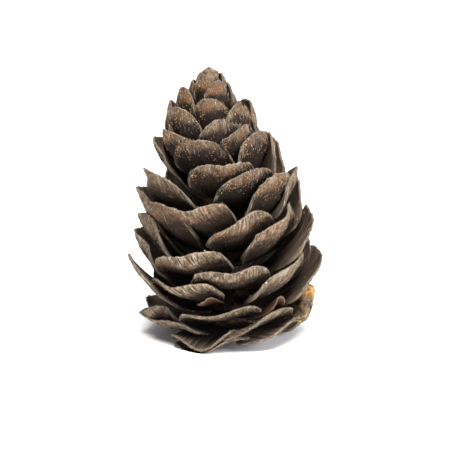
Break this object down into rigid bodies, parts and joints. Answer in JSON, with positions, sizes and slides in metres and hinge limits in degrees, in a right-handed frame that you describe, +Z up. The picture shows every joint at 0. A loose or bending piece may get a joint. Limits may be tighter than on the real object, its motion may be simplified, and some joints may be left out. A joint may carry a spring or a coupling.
{
  "type": "larch cone",
  "caption": "Open weathered larch cone standing upright, with wavy thin woody scales on a spiral, a lichened twig stub at its base and seed wings lodged between scales",
  "frame": {"origin": "centre of the bounding box, on the surface that the lowest scales rest on", "axes": "+Z up along the cone's axis to its tip, -Y to the front that the picture shows, +X to the right"},
  "size_m": [0.0233, 0.0224, 0.033],
  "materials": {
    "cone_wood": "matte",
    "bark": "matte",
    "seed_wing": "matte"
  },
  "bodies": {
    "root": {"cone": "cone_wood", "twig_stub": "bark", "seed_wing_left": "seed_wing", "seed_wing_right": "seed_wing"}
  },
  "joints": []
}
